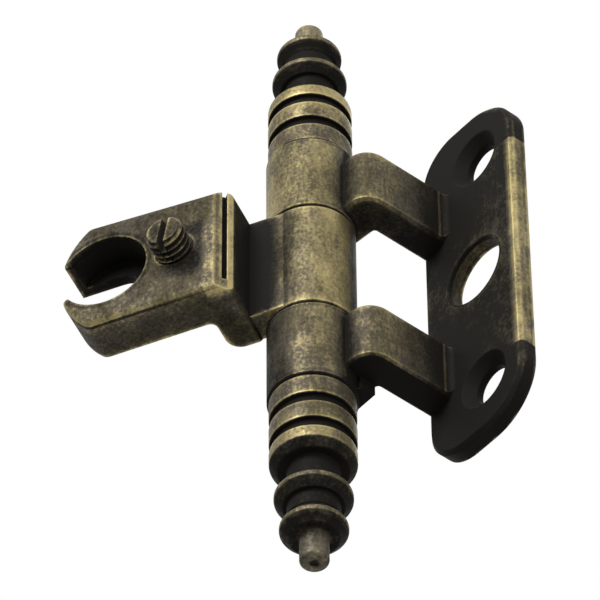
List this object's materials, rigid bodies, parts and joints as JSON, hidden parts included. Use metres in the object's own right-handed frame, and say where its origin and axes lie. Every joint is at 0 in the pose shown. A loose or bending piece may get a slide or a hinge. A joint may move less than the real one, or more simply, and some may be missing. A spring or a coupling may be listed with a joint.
{
  "type": "furniture hinge",
  "caption": "Surface-mounted furniture hinge with ring-turned finials: a three-hole wing on cranked arms and a thick fork with a stepped C mouth and a slotted adjusting screw.",
  "frame": {"origin": "midway between the wing's two countersunk screw holes, on the plate's mounting face", "axes": "+Y out of the wing's mounting face, +Z along the pin, +X along the wing's plate away from the pin"},
  "size_m": [0.0358, 0.0322, 0.0766],
  "materials": {
    "wing_casting": "antique brass plate, relieved on the edges",
    "fork_casting": "antique brass plate, relieved on the edges",
    "finial_metal": "antique brass plate, relieved on the rings",
    "pin_steel": "dull bronzed steel",
    "screw_steel": "dark bronzed steel"
  },
  "bodies": {
    "wing": {"frame_wing": "wing_casting", "hinge_pin": "pin_steel", "upper_finial": "finial_metal", "lower_finial": "finial_metal"},
    "fork": {"door_fork": "fork_casting"},
    "screw": {"adjusting_screw": "screw_steel"}
  },
  "joints": [
    {"name": "door_swing", "type": "hinge", "parent": "wing", "child": "fork", "pos_m": [-0.0124, -0.01305, 0], "axis": [0, 0, 1], "range_deg": [-145, 153]},
    {"name": "screw_turn", "type": "hinge", "parent": "fork", "child": "screw", "pos_m": [-0.01733, -0.0265, 0], "axis": [0.454, -0.891, 0], "continuous": true}
  ]
}
